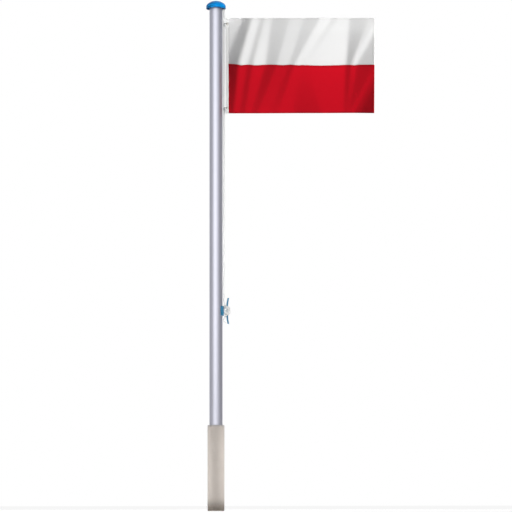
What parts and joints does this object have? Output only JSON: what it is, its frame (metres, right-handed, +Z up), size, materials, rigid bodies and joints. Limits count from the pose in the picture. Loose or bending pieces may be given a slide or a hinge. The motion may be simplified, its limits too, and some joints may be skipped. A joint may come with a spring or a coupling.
{
  "type": "flagpole with ground sleeve",
  "caption": "Tubular flagpole in a ground sleeve, with a mushroom cap, a rope halyard tied off on a horn cleat, and a two-colour flag that is hoisted along it.",
  "frame": {"origin": "centre of the ground sleeve's lower face", "axes": "+Z up along the mast, +X from the mast towards the flag's fly end, the picture looks along +Y"},
  "size_m": [1.2922, 0.151, 3.91],
  "materials": {
    "sleeve_plastic": "warm grey pipe plastic, slightly chalked",
    "mast_aluminium": "satin anodised",
    "plug_plastic": "moulded",
    "blue_plastic": "moulded, gloss",
    "bright_steel": "bright",
    "rope": "braided cord",
    "cleat_plastic": "moulded nylon",
    "white_cloth": "woven polyester",
    "red_cloth": "woven polyester",
    "heading_canvas": "woven tape",
    "grommet_brass": "polished",
    "hook_plastic": "moulded"
  },
  "bodies": {
    "mast": {"ground_sleeve": "sleeve_plastic", "sleeve_end_cap": "sleeve_plastic", "sleeve_collar": "sleeve_plastic", "mast_lower_section": "mast_aluminium", "mast_middle_section": "mast_aluminium", "mast_upper_section": "mast_aluminium", "cap_plug": "plug_plastic", "cap_dome": "blue_plastic", "halyard_pin": "bright_steel", "halyard": "rope", "halyard_wraps": "rope", "halyard_tail": "rope", "cleat_saddle": "cleat_plastic", "cleat_horns": "cleat_plastic", "cleat_screw_upper": "bright_steel", "cleat_screw_lower": "bright_steel"},
    "flag": {"flag_white_panel": "white_cloth", "flag_red_panel": "red_cloth", "flag_heading": "heading_canvas", "grommet_upper": "grommet_brass", "grommet_lower": "grommet_brass", "snap_hook_upper": "hook_plastic", "snap_hook_lower": "hook_plastic", "hook_gate_upper": "hook_plastic", "hook_gate_lower": "hook_plastic", "hook_knot_upper": "rope", "hook_knot_lower": "rope"}
  },
  "joints": [
    {"name": "flag_hoist", "type": "slide", "parent": "mast", "child": "flag", "axis": [-0.0023, -0.0008, -1], "range_m": [0, 1.35]}
  ]
}
